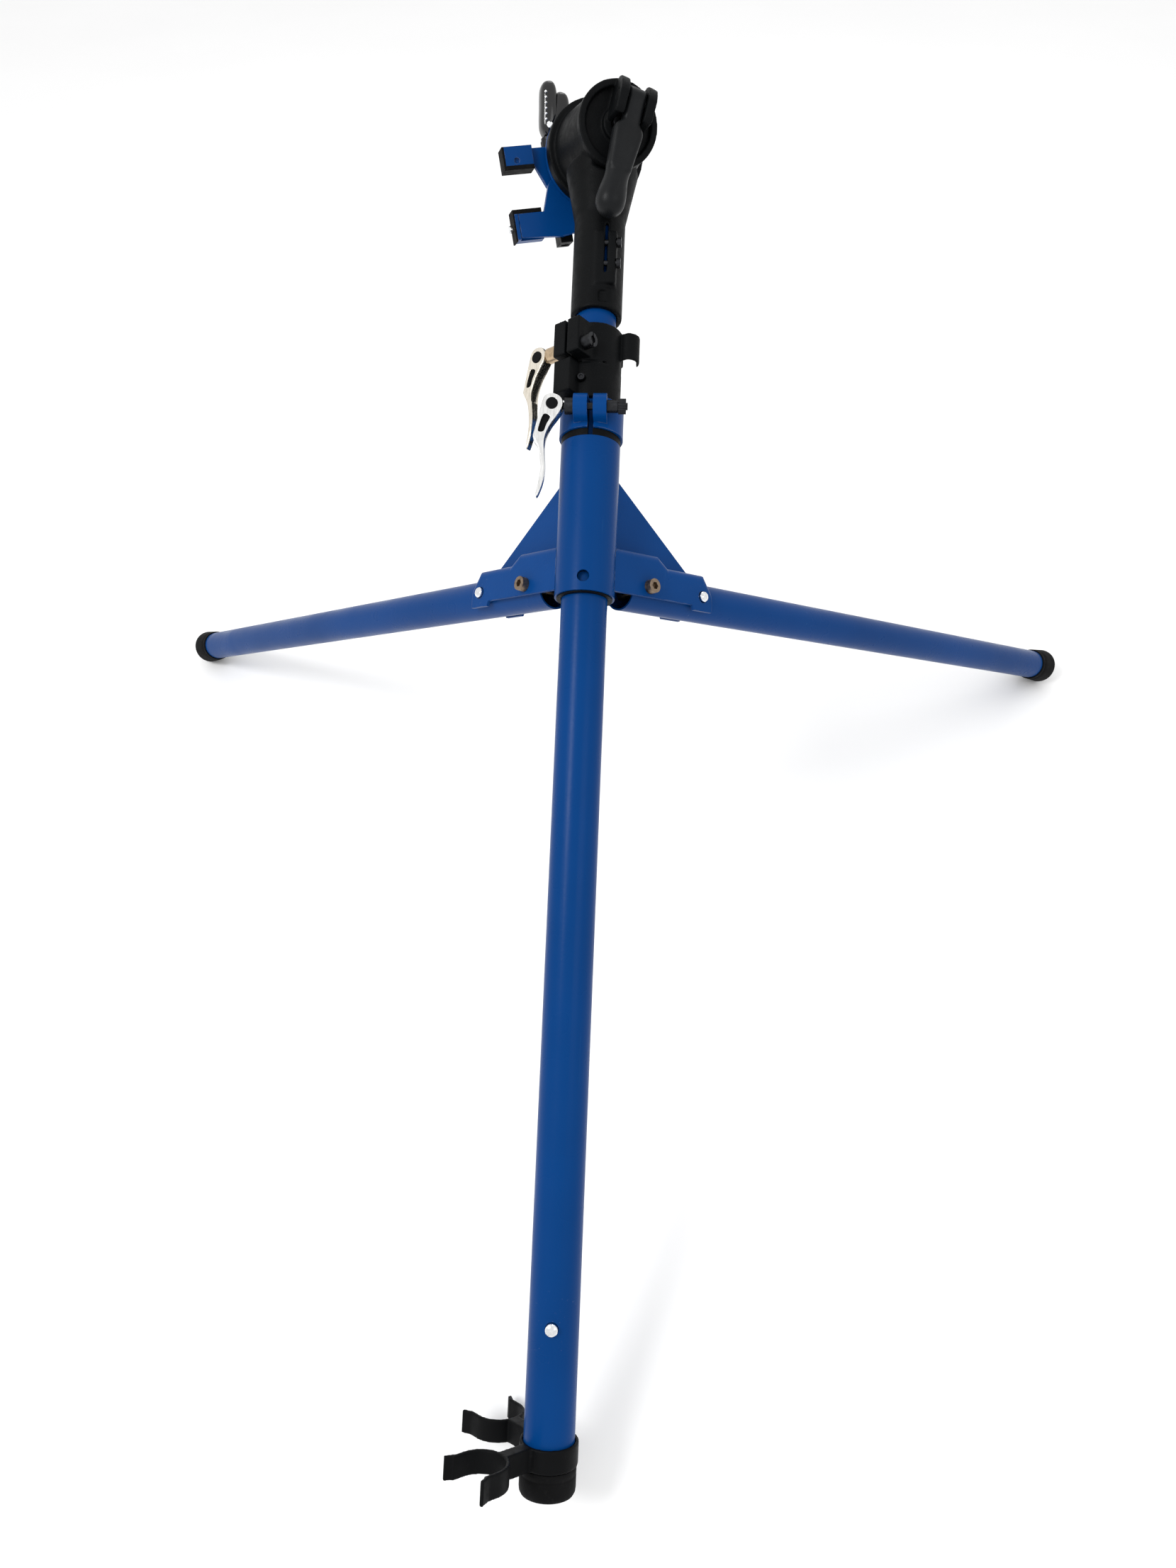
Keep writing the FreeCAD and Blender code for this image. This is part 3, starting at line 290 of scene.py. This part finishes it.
def rubber(name, base, fine, depth):
    """Moulded rubber with a fine bloom and random lighter and darker patches."""
    s = Shader(name)
    tone = s.mix(s.ramp(s.noise(60.0), 0.3, 0.7), shade(base, 0.8), shade(base, 1.3))
    dust = s.maths("MULTIPLY", s.ramp(s.noise(180.0, 5.0, 0.7), 0.56, 0.72), 0.18)
    tone = s.mix(dust, tone, rgb(0.028, 0.027, 0.026))
    rough = s.ramp(s.noise(120.0), 0.3, 0.7, 0.58, 0.78)
    s.relief(s.noise(fine, 3.0), depth, 0.5, 0.0010)
    return s.finish(tone, rough, level=0.07)


def moulded(name, base, low, high, depth, level=0.5):
    """Moulded plastic: faint flow variation and a fine grain."""
    s = Shader(name)
    tone = s.mix(s.ramp(s.noise(40.0), 0.3, 0.7), shade(base, 0.85), shade(base, 1.2))
    scratch = s.ramp(s.noise(1.0, 3.0, 0.6, (60.0, 900.0, 60.0)), 0.68, 0.76)
    tone = s.mix(s.maths("MULTIPLY", scratch, 0.2), tone, rgb(0.04, 0.04, 0.04))
    rough = s.ramp(s.noise(210.0), 0.3, 0.7, low, high)
    s.relief(s.noise(1200.0, 2.0), depth, 0.35, 0.0008)
    return s.finish(tone, rough, level=level)


def metal(name, base, low, high, stretch, stain, stain_colour):
    """Bare metal with directional polishing marks and patches of tarnish."""
    s = Shader(name)
    grain = s.noise(1.0, 3.0, 0.6, stretch)
    tone = s.mix(s.ramp(grain, 0.3, 0.7), shade(base, 0.86), shade(base, 1.1))
    patch = s.maths("MULTIPLY", s.ramp(s.noise(150.0, 5.0, 0.65), 0.5, 0.66), stain)
    tone = s.mix(patch, tone, stain_colour)
    rough = s.ramp(grain, 0.3, 0.7, low, high)
    s.relief(grain, 0.00012, 0.4, 0.0006)
    return s.finish(tone, rough, 1.0)


MATERIALS = {
    "blue_paint": blue_paint(),
    "tube_paint": tube_paint(),
    "black_casting": black_casting(),
    "black_rubber": rubber("black_rubber", rgb(0.0036, 0.0036, 0.0039), 900.0, 0.0003),
    "black_plastic": moulded("black_plastic", rgb(0.0030, 0.0032, 0.0036), 0.42, 0.56, 0.00025, 0.06),
    "lever_plastic": moulded("lever_plastic", rgb(0.0048, 0.0054, 0.0062), 0.34, 0.48, 0.0003, 0.14),
    "gloss_black": moulded("gloss_black", rgb(0.005, 0.005, 0.0055), 0.06, 0.13, 0.00004, 0.5),
    "silver_lever": metal("silver_lever", rgb(0.80, 0.80, 0.79), 0.16, 0.30, (900.0, 900.0, 40.0), 0.15,
                          rgb(0.45, 0.44, 0.42)),
    "champagne_lever": metal("champagne_lever", rgb(0.80, 0.74, 0.64), 0.16, 0.30, (900.0, 900.0, 40.0), 0.2,
                             rgb(0.42, 0.36, 0.28)),
    "bronze_spacer": metal("bronze_spacer", rgb(0.50, 0.38, 0.25), 0.24, 0.40, (500.0, 500.0, 500.0), 0.3,
                           rgb(0.22, 0.15, 0.09)),
    "chrome_steel": metal("chrome_steel", rgb(0.78, 0.79, 0.80), 0.08, 0.18, (300.0, 300.0, 300.0), 0.1,
                          rgb(0.40, 0.40, 0.40)),
    "spring_steel": metal("spring_steel", rgb(0.50, 0.51, 0.53), 0.25, 0.42, (900.0, 900.0, 60.0), 0.3,
                          rgb(0.26, 0.23, 0.20)),
    "oxidised_steel": metal("oxidised_steel", rgb(0.24, 0.18, 0.13), 0.34, 0.55, (500.0, 500.0, 500.0), 0.8,
                            rgb(0.09, 0.05, 0.03)),
    "dark_steel": metal("dark_steel", rgb(0.030, 0.031, 0.034), 0.30, 0.48, (500.0, 500.0, 500.0), 0.4,
                        rgb(0.016, 0.015, 0.014)),
}
TUBES = ("main_tube", "upper_tube", "left_leg_tube", "right_leg_tube", "hub_sleeve")
SLOT_OF = {item["node"]: item["material_slot"] for item in RECORD["subparts"]}


def dress(item, material):
    """Put one material in every slot."""
    if not item.material_slots:
        item.data.materials.append(material)
    for slot in item.material_slots:
        slot.material = material


for node_name, node in frame["nodes"].items():
    key = "tube_paint" if node_name in TUBES else SLOT_OF[node_name]
    dress(node, MATERIALS[key])


# ------------------------------------------------------------ mesh helpers

def add_mesh(name, points, faces, matrix, angle=40.0):
    mesh = bpy.data.meshes.new(name)
    mesh.from_pydata([matrix @ Vector(point) for point in points], [], faces)
    mesh.validate()
    mesh.shade_smooth()
    mesh.set_sharp_from_angle(angle=math.radians(angle))
    item = bpy.data.objects.new(name, mesh)
    bpy.context.scene.collection.objects.link(item)
    return item


def settle(item):
    """Apply the modifiers of a piece."""
    graph = bpy.context.evaluated_depsgraph_get()
    mesh = bpy.data.meshes.new_from_object(item.evaluated_get(graph))
    old = item.data
    item.modifiers.clear()
    item.data = mesh
    bpy.data.meshes.remove(old)
    return item


def give(item, body, material, slot, *nodes):
    dress(item, MATERIALS[material])
    if nodes:
        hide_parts(*nodes)
    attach(item, body)
    return item


def loft(name, rings, matrix, angle=50.0):
    """Closed skin over rings of equal length, with fanned ends."""
    count = len(rings[0])
    points = [point for ring in rings for point in ring]
    faces = []
    for row in range(len(rings) - 1):
        for index in range(count):
            following = (index + 1) % count
            faces.append((row * count + index, row * count + following,
                          (row + 1) * count + following, (row + 1) * count + index))
    for row, flip in ((0, True), (len(rings) - 1, False)):
        centre = sum((Vector(point) for point in rings[row]), Vector()) / count
        points.append(tuple(centre))
        hub = len(points) - 1
        for index in range(count):
            first, second = row * count + index, row * count + (index + 1) % count
            faces.append((second, first, hub) if flip else (first, second, hub))
    return add_mesh(name, points, faces, matrix, angle)


def oval(centre, wide, deep, count=40, power=2.0):
    """Ring of a superellipse in the local XZ plane round a centre on Y."""
    ring = []
    for index in range(count):
        turn = 2 * math.pi * index / count
        cos, sin = math.cos(turn), math.sin(turn)
        x = math.copysign(abs(cos) ** (2 / power), cos) * wide
        z = math.copysign(abs(sin) ** (2 / power), sin) * deep
        ring.append((centre[0] + x, centre[1], centre[2] - z))
    return ring


def smooth_line(points, steps=6, closed=False):
    """Catmull-Rom curve through points."""
    count = len(points)
    result = []
    last = count if closed else count - 1
    for index in range(last):
        around = []
        for offset in (-1, 0, 1, 2):
            place = index + offset
            around.append(Vector(points[place % count if closed else min(max(place, 0), count - 1)]))
        a, b, c, d = around
        for step in range(steps):
            t = step / steps
            result.append(0.5 * ((2 * b) + (c - a) * t + (2 * a - 5 * b + 4 * c - d) * t ** 2
                                 + (3 * b - a - 3 * c + d) * t ** 3))
    if not closed:
        result.append(Vector(points[-1]))
    return result


def lathe(name, profile, matrix, turns=72, angle=35.0):
    """Surface turned about local Z from (radius, height) points."""
    rings = []
    for radius, height in profile:
        radius = max(radius, 0.01)
        rings.append([(radius * math.cos(2 * math.pi * k / turns), radius * math.sin(2 * math.pi * k / turns),
                       height) for k in range(turns)])
    return loft(name, rings, matrix, angle)


def casting(name, node, voxel, passes, body, material="black_casting"):
    """Softened copy of a CAD casting: remeshed, then relaxed so that its edges are round."""
    item = bpy.data.objects.new(name, frame["nodes"][node].data.copy())
    bpy.context.scene.collection.objects.link(item)
    remesh = item.modifiers.new("remesh", "REMESH")
    remesh.mode = "VOXEL"
    remesh.voxel_size = voxel
    relax = item.modifiers.new("relax", "SMOOTH")
    relax.factor = 0.5
    relax.iterations = passes
    settle(item)
    item.data.shade_smooth()
    item.data.materials.clear()
    return give(item, body, material, SLOT_OF[node], node)


# ------------------------------------------------------------ pieces

WINDOW_FLOOR = 2.8              # height of a quick-release lever's recess above its mid-plane
BORE_RADIUS = 5.1
RIM_BEVEL = 0.7


def qr_lever(name, node, boss, x_dir, z_dir, body, material):
    """Cast quick-release lever: ball boss, window, knee and swept tip, with a bevelled rim."""
    y_dir = z_dir.cross(x_dir)
    place = basis(boss, x_dir, y_dir, z_dir)
    line = [(0.0, 9.6), (6.6, 6.9), (9.5, 2.0), (9.0, -4.0), (4.8, -11.0), (-0.2, -18.5), (-3.7, -27.0),
            (-4.8, -34.0), (-4.4, -44.0), (-3.7, -52.0), (-3.8, -60.0), (-5.2, -70.0), (-8.9, -81.0),
            (-10.8, -80.0), (-8.9, -70.0), (-7.7, -60.0), (-8.0, -52.0), (-9.0, -44.0), (-11.3, -37.0),
            (-14.8, -30.0), (-14.0, -24.0), (-11.6, -12.0), (-9.6, -3.0), (-6.6, 6.9)]
    rim = smooth_line([(x, y, 0) for x, y in line], 5, True)
    count = len(rim)
    rings = []
    for level, keep in ((-5.4, 0), (-4.2, 1), (4.2, 1), (5.4, 0)):
        ring = []
        for index, point in enumerate(rim):
            ahead, behind = rim[(index + 1) % count], rim[index - 1]
            side = (ahead - behind).normalized()
            inward = Vector((side.y, -side.x, 0))
            thin = 1.0 if point.y > -30 else max(0.55, 1.0 + (point.y + 30) / 110)
            spot = point + (Vector() if keep else inward * RIM_BEVEL)
            ring.append((spot.x, spot.y, level * thin))
        rings.append(ring)
    item = flat_loft(name, rings, place)
    cut_window(item, place)
    give(item, body, material, SLOT_OF[node], node)
    rings = [[(spot.x, spot.y, level) for spot in lever_window()] for level in (-1.8, WINDOW_FLOOR + 0.4)]
    web = flat_loft(name + "_web", rings, place)
    fix_normals(web.data)
    give(web, body, "black_plastic", "black_plastic")


def flat_loft(name, rings, matrix):
    """Skin over outline rings, with n-gon faces at both ends."""
    count = len(rings[0])
    points = [point for ring in rings for point in ring]
    faces = []
    for row in range(len(rings) - 1):
        for index in range(count):
            following = (index + 1) % count
            faces.append((row * count + index, (row + 1) * count + index,
                          (row + 1) * count + following, row * count + following))
    faces.append(tuple(range(count)))
    faces.append(tuple((len(rings) - 1) * count + index for index in reversed(range(count))))
    return add_mesh(name, points, faces, matrix, 32.0)


def lever_window():
    """Outline of the slot in a quick-release lever."""
    corners = ((-6.4, -9.8), (-1.0, -12.2), (-3.8, -19.0), (-6.0, -25.2), (-10.6, -25.2), (-9.6, -18.0))
    return smooth_line([(x, y, 0) for x, y in corners], 5, True)


def cut_window(item, place):
    """Recess in the lever's face and a bore for its pivot."""
    corner = math.pi / 16
    bore = [Vector((BORE_RADIUS * math.cos(k * corner), BORE_RADIUS * math.sin(k * corner), 0))
            for k in range(32)]
    for label, ring, low, high in (("window", lever_window(), WINDOW_FLOOR, 9.0), ("bore", bore, -9.0, 9.0)):
        rings = [[(spot.x, spot.y, level) for spot in ring] for level in (low, high)]
        subtract(item, flat_loft(item.name + "_" + label, rings, place))


def subtract(item, tool):
    """Cut a tool out of a piece and remove the tool."""
    boolean = item.modifiers.new("cut", "BOOLEAN")
    boolean.operation = "DIFFERENCE"
    boolean.solver = "EXACT"
    boolean.object = tool
    for mesh_item in (item, tool):
        fix_normals(mesh_item.data)
    settle(item)
    bpy.data.objects.remove(tool)
    item.data.set_sharp_from_angle(angle=math.radians(32.0))


def fix_normals(mesh):
    """Turn every face outwards."""
    work = bmesh.new()
    work.from_mesh(mesh)
    bmesh.ops.recalc_face_normals(work, faces=work.faces)
    work.to_mesh(mesh)
    work.free()


def qr_levers():
    """The champagne lever on the collar and the silver one on the hub."""
    out = Vector(joint("collar_lever_open")["axis"]) * -1
    along = (MAST.to_3x3() @ Vector((0, 0, 1))).normalized()
    across = along.cross(out)
    qr_lever("collar_lever_skin", "collar_qr_lever", Vector(joint("collar_lever_open")["pos_m"]),
             across, out, "collar_lever", "champagne_lever")
    facing = -direction("hub_lever_open")
    across = along.cross(facing)
    qr_lever("hub_lever_skin", "hub_qr_lever", Vector(joint("hub_lever_open")["pos_m"]),
             across, facing, "hub_lever", "silver_lever")


def cam_lever():
    """Long cam lever with a waisted grip and a ball end."""
    place = FORK.copy()
    place.translation = Vector(joint("cam_lever_open")["pos_m"])
    # distance along the lever, half width, half depth, shift in depth
    stations = ((9.2, 8.0, 2.0, 0.0), (8.4, 8.3, 5.2, 0.0), (5.0, 8.3, 8.4, 0.0), (0.0, 8.3, 9.6, 0.0),
                (-8.0, 8.3, 8.6, -1.0), (-15.0, 8.3, 7.8, -2.0), (-19.5, 8.3, 7.4, -2.0),
                (-23.0, 11.6, 7.4, -2.0), (-27.0, 13.3, 7.6, -2.0), (-36.0, 12.8, 7.8, -2.0),
                (-48.0, 11.7, 8.0, -2.0), (-58.0, 10.9, 8.6, -2.2), (-66.0, 10.7, 9.8, -2.4),
                (-73.0, 11.8, 11.3, -2.5), (-79.0, 12.7, 12.5, -2.5), (-85.0, 13.0, 13.0, -2.5),
                (-90.5, 11.8, 11.8, -2.5), (-94.6, 8.8, 8.8, -2.5), (-97.2, 4.8, 4.8, -2.5),
                (-98.0, 1.0, 1.0, -2.5))
    rings = []
    line = smooth_line([(y, wide, deep) for y, wide, deep, _ in stations], 4)
    depth = smooth_line([(y, lift, 0) for y, _, _, lift in stations], 4)
    for spot, lift in zip(line, depth):
        power = 3.6 if spot.x > -60 else 2.1
        rings.append(oval((0, spot.x, lift.y), spot.y, spot.z, 48, power))
    item = loft("cam_lever_skin", rings, place, 60.0)
    fix_normals(item.data)
    give(item, "cam_lever", "lever_plastic", "black_plastic", "head_cam_lever")


def clamp_handle():
    """Two-lobed glossy cam handle with a row of small raised studs on its edge."""
    place = basis(Vector(joint("clamp_handle_open")["pos_m"]),
                  *(column.normalized() for column in JAW.to_3x3().col))
    # height above the pivot, left and right edges, half depth
    lobes = (((-8.0, -6.0, 1.0, 7.4), (-6.0, -9.0, 3.0, 9.4), (0.0, -14.0, 2.0, 10.3),
              (8.0, -20.4, -4.0, 10.4), (16.0, -23.4, -7.4, 10.2), (22.0, -23.6, -9.0, 9.6),
              (26.0, -22.0, -10.6, 8.0), (28.6, -18.6, -13.6, 4.4)),
             ((-8.0, -3.5, 3.5, 7.4), (-6.0, -6.0, 5.6, 9.2), (0.0, -8.6, 7.4, 10.2),
              (8.0, -11.0, 6.6, 10.4), (18.0, -12.4, 4.6, 10.4), (28.0, -13.2, 2.8, 10.0),
              (34.0, -12.8, 1.2, 9.0), (37.6, -11.0, -1.4, 6.6), (39.2, -8.4, -4.6, 3.0)))
    for label, profile in zip(("left", "right"), lobes):
        line = smooth_line([(y, low, high) for y, low, high, _ in profile], 3)
        depth = smooth_line([(deep, 0, 0) for _, _, _, deep in profile], 3)
        rings = [oval(((spot.y + spot.z) / 2, spot.x, 0), (spot.z - spot.y) / 2, deep.x, 44, 2.8)
                 for spot, deep in zip(line, depth)]
        item = loft("clamp_handle_" + label, rings, place, 60.0)
        fix_normals(item.data)
        stands_for = ("clamp_cam_handle",) if label == "left" else ()
        give(item, "clamp_handle", "gloss_black", "gloss_black", *stands_for)
    for index in range(6):
        y = 5.0 + index * 4.6
        stud = lathe("handle_stud_%d" % index, ((0, -0.6), (1.2, -0.5), (1.25, 0.5), (0.7, 1.1), (0, 1.3)),
                     place @ Matrix.Translation((2.6 - index * 0.7, y, -9.6))
                     @ Matrix.Rotation(math.pi, 4, "X"), 20)
        fix_normals(stud.data)
        give(stud, "clamp_handle", "chrome_steel", "chrome_steel")


def weld(name, ends, radius, matrix, body):
    """Scalloped bead between two ends."""
    line = [Vector(ends[0]).lerp(Vector(ends[1]), step / 60) for step in range(61)]
    rings = []
    for index, spot in enumerate(line):
        ahead = line[min(index + 1, len(line) - 1)] - line[max(index - 1, 0)]
        ahead.normalize()
        side = ahead.orthogonal().normalized()
        lift = ahead.cross(side)
        swell = radius * (0.82 + 0.22 * abs(math.sin(index * 0.9)))
        if index in (0, len(line) - 1):
            swell = radius * 0.3
        rings.append([tuple(spot + side * swell * math.cos(k * math.pi / 6) + lift * swell
                            * math.sin(k * math.pi / 6)) for k in range(12)])
    item = loft(name, rings, matrix, 80.0)
    fix_normals(item.data)
    give(item, body, "blue_paint", "blue_paint")


def hub_welds():
    """Beads where the gussets and brackets meet the sleeve and each other."""
    for side, place in LEGS.items():
        for face in (-1, 1):
            tag = "a" if face < 0 else "b"
            weld("%s_gusset_bead_%s" % (side, tag), [(85, face * 2.4, 22.2), (128, face * 2.4, 22.2)],
                 1.3, place, "hub")
            weld("%s_hump_bead_%s" % (side, tag), [(30, face * 2.4, 31.4), (71, face * 2.4, 31.4)],
                 1.3, place, "hub")
            weld("%s_sleeve_bead_%s" % (side, tag), [(30.4, face * 2.4, 33.0), (37.4, face * 2.4, 98.0)],
                 1.4, place, "hub")


def rubber_cap(name, node, profile, matrix, body):
    """Turned rubber cap that stands for its CAD node."""
    item = lathe(name, profile, matrix, 96)
    fix_normals(item.data)
    give(item, body, "black_rubber", "black_rubber", node)


def caps():
    """Foot and leg caps: a soft lip, a shallow moulding groove and a ribbed sole."""
    foot = [(0, 1.2), (5, 1.2), (5.6, 0.6), (8, 0.6), (8.6, 1.2), (11, 1.2), (11.6, 0.6), (14, 0.6),
            (14.6, 1.2), (16.5, 1.0), (18.6, 0.1), (20.6, 1.0), (21.7, 3.0), (22.0, 5.5), (22.0, 14.2),
            (21.6, 14.8), (21.6, 15.6), (22.0, 16.2), (22.0, 19.8), (21.5, 20.8), (20.06, 21.0), (20.06, 6.0),
            (19.0, 4.6), (0, 4.6)]
    rubber_cap("foot_cap_skin", "foot_cap", foot, MAST, "mast")
    leg = [(0, 1.0), (5, 1.0), (5.6, 0.4), (8, 0.4), (8.6, 1.0), (11, 1.0), (11.6, 0.4), (14, 0.4),
           (14.6, 1.0), (16.2, 0.8), (18.0, 0.1), (20.0, 1.1), (21.1, 2.9), (21.4, 5.2), (21.1, 10.0),
           (20.4, 20.0), (20.0, 26.4), (19.6, 27.0), (19.6, 27.8), (19.9, 28.4), (19.75, 31.0),
           (19.2, 31.9), (18.06, 32.0), (18.06, 5.0), (17.0, 3.6), (0, 3.6)]
    for side, place in LEGS.items():
        end = place @ Matrix.Translation((LEG_LENGTH, 0, 0)) @ Matrix.Rotation(math.radians(-90), 4, "Y")
        rubber_cap(side + "_cap_skin", side + "_leg_cap", leg, end, side + "_leg")


casting("head_skin", "head_casting", 0.0011, 7, "upper_mast")
casting("collar_skin", "collar_casting", 0.0008, 4, "mast")
casting("rear_disc_skin", "rear_fork_disc", 0.0009, 7, "clamp")
casting("clip_skin", "foot_leg_clip", 0.0008, 5, "leg_clip", "black_plastic")
qr_levers()
cam_lever()
clamp_handle()
hub_welds()
caps()


# ------------------------------------------------------------ floor, light and camera

FLOOR_HALF = 14.0               # metres
CAMERA_PLACE = (70.36, -900.94, 419.71)     # in the mast's frame, millimetres
CAMERA_TURN = (98.207, -2.292, 3.528)       # in the mast's frame, degrees about X, Y and Z
FOCAL_LENGTH = 24.9656
SENSOR = 36.0


def floor():
    """Plain pale floor under the stand."""
    reach = FLOOR_HALF
    points = [(-reach, -reach, 0), (reach, -reach, 0), (reach, reach, 0), (-reach, reach, 0)]
    mesh = bpy.data.meshes.new("floor")
    mesh.from_pydata(points, [], [(0, 1, 2, 3)])
    item = bpy.data.objects.new("floor", mesh)
    item.location.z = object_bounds()[0][2]
    bpy.context.scene.collection.objects.link(item)
    s = Shader("floor_paper")
    tone = s.mix(s.noise(2.0), rgb(0.90, 0.90, 0.90), rgb(0.93, 0.93, 0.93))
    item.data.materials.append(s.finish(tone, 0.85, level=0.1))
    item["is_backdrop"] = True


def area(name, place, aim, size, power):
    """Round area light at a place, facing a point."""
    light = bpy.data.lights.new(name, "AREA")
    light.shape = "DISK"
    light.size = size
    light.energy = power
    item = bpy.data.objects.new(name, light)
    item.location = place
    item.rotation_mode = "QUATERNION"
    item.rotation_quaternion = (Vector(aim) - Vector(place)).to_track_quat("-Z", "Y")
    bpy.context.scene.collection.objects.link(item)


def lights():
    """White surroundings with a soft key from the upper left, a fill and a rim light."""
    world = bpy.data.worlds.new("studio")
    bpy.context.scene.world = world
    world.use_nodes = True
    back = world.node_tree.nodes["Background"]
    back.inputs["Color"].default_value = rgb(1.0, 1.0, 1.0)
    back.inputs["Strength"].default_value = 1.0
    area("key", (-1.5, -0.9, 2.6), (0, 0.1, 0.3), 1.0, 38)
    area("fill", (2.0, -1.2, 2.4), (0, 0.1, 0.3), 1.4, 8)
    area("rim", (0.4, 2.6, 2.6), (0, 0.2, 0.4), 1.2, 8)
    bpy.context.scene.view_settings.view_transform = "Standard"


def camera():
    """Viewpoint of the photograph, held in the mast's own frame."""
    turn = Euler([math.radians(angle) for angle in CAMERA_TURN]).to_matrix()
    matrix = (MAST.to_3x3().normalized() @ turn).to_4x4()
    matrix.translation = MAST @ Vector(CAMERA_PLACE)
    lens = bpy.data.cameras.new("camera")
    lens.sensor_width = SENSOR
    lens.lens = FOCAL_LENGTH
    lens.clip_start = 0.01
    lens.clip_end = 60.0
    item = bpy.data.objects.new("camera", lens)
    item.matrix_world = matrix
    bpy.context.scene.collection.objects.link(item)
    bpy.context.scene.camera = item


floor()
lights()
camera()
